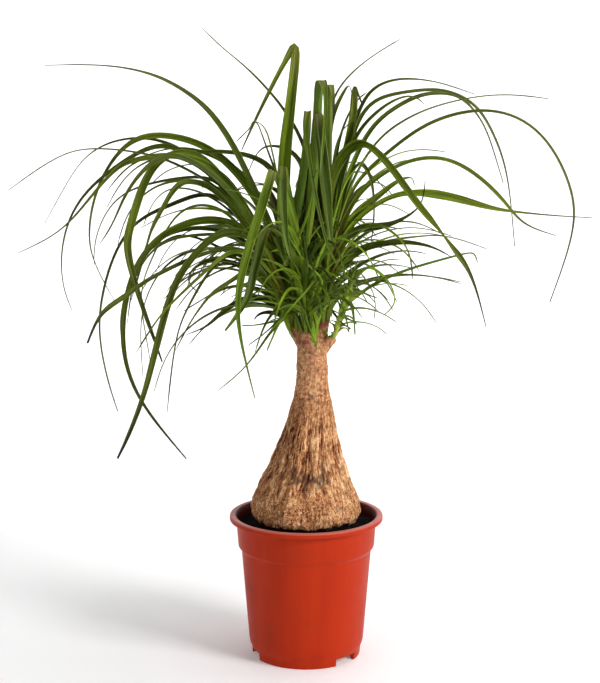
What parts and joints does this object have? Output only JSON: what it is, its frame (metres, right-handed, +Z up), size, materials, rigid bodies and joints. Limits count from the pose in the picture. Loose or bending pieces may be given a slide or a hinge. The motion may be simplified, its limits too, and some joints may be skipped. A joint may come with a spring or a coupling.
{
  "type": "potted ponytail palm",
  "caption": "Ponytail palm house plant with a swollen corky trunk and arching strap leaves, in a red plastic nursery pot of peat.",
  "frame": {"origin": "on the pot's axis at the level that the pot stands on, under the middle of the whole plant", "axes": "+Z up along the pot's axis, -Y towards the viewer of the picture, +X to the viewer's right"},
  "size_m": [0.5514, 0.4027, 0.6112],
  "materials": {
    "pot": "terracotta-red moulded polypropylene, satin",
    "soil": "moist dark peat, matte",
    "bark": "dry corky fissured bark, matte",
    "leaf": "waxy strap leaf, satin",
    "young_leaf": "young yellow-green leaf, satin"
  },
  "bodies": {
    "root": {"pot": "pot", "soil": "soil", "trunk": "bark", "head_left": "leaf", "head_front": "leaf", "head_right": "leaf", "head_back": "leaf", "side_shoot": "young_leaf"}
  },
  "joints": []
}
